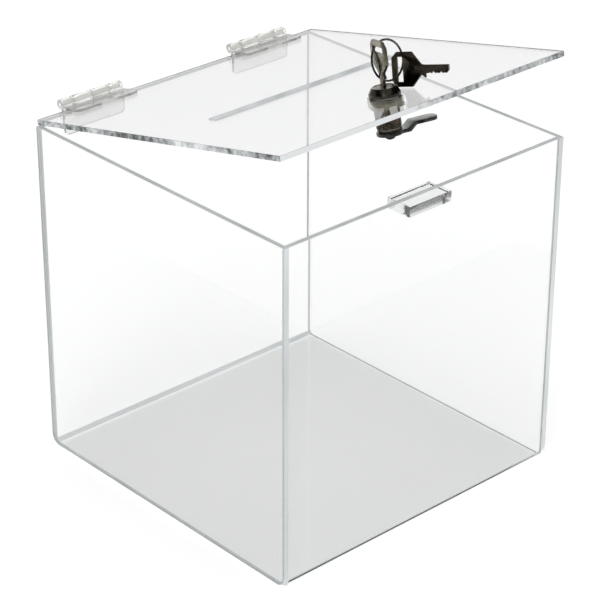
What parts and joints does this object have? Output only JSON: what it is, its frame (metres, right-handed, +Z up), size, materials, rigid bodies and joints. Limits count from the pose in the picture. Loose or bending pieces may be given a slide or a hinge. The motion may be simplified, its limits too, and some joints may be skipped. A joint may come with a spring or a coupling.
{
  "type": "donation box",
  "caption": "Clear acrylic donation box with a hinged, slotted lid held by a cam lock, and keys on a split ring.",
  "frame": {"origin": "centre of the flat underside, where the box stands on its surface", "axes": "+X to the box's right seen from the front, +Y towards the hinged back, +Z up"},
  "size_m": [0.2, 0.2048, 0.2693],
  "materials": {
    "clear_sheet": "clear cast acrylic, polished edges",
    "clear_block": "clear acrylic block",
    "hinge_plastic": "clear moulded plastic",
    "nickel_plate": "bright nickel plate",
    "plug_metal": "bright nickel plate",
    "wafer_brass": "stamped brass",
    "spring_steel": "spring wire",
    "zinc_plate": "zinc plated steel",
    "key_metal": "nickel plated steel",
    "ring_steel": "bright steel wire"
  },
  "bodies": {
    "box": {"bent_shell": "clear_sheet", "left_side_panel": "clear_sheet", "right_side_panel": "clear_sheet", "strike_block": "clear_block", "left_hinge_wall_leaf": "hinge_plastic", "right_hinge_wall_leaf": "hinge_plastic", "left_hinge_pin": "hinge_plastic", "right_hinge_pin": "hinge_plastic"},
    "lid": {"lid_panel": "clear_sheet", "left_hinge_lid_leaf": "hinge_plastic", "right_hinge_lid_leaf": "hinge_plastic", "lock_housing": "nickel_plate", "lock_nut": "nickel_plate"},
    "lock_plug": {"lock_plug": "plug_metal", "lock_wafers": "wafer_brass", "wafer_springs": "spring_steel", "cam_stop_washer": "zinc_plate", "cam": "zinc_plate", "cam_screw": "zinc_plate"},
    "key_1": {"key_1": "key_metal"},
    "split_ring": {"split_ring": "ring_steel"},
    "key_2": {"key_2": "key_metal"}
  },
  "joints": [
    {"name": "lid_hinge", "type": "hinge", "parent": "box", "child": "lid", "pos_m": [0, 0.1026, 0.2054], "axis": [-1, 0, 0], "range_deg": [-12.7, 242.3]},
    {"name": "lock_turn", "type": "hinge", "parent": "lid", "child": "lock_plug", "pos_m": [0, -0.06499, 0.23999], "axis": [0, 0.2198, 0.9755], "range_deg": [-70, 20]},
    {"name": "key_1_pull", "type": "slide", "parent": "lock_plug", "child": "key_1", "axis": [0, 0.2198, 0.9755], "range_m": [0, 0.0114]},
    {"name": "ring_turn", "type": "hinge", "parent": "key_1", "child": "split_ring", "pos_m": [0.00844, -0.05767, 0.25489], "axis": [0.0064, 0.9411, -0.3381], "range_deg": [-20, 0]},
    {"name": "key_2_on_ring", "type": "hinge", "parent": "split_ring", "child": "key_2", "pos_m": [0.00844, -0.05767, 0.25489], "axis": [0.0064, 0.9411, -0.3381], "range_deg": [-10, 0]}
  ]
}
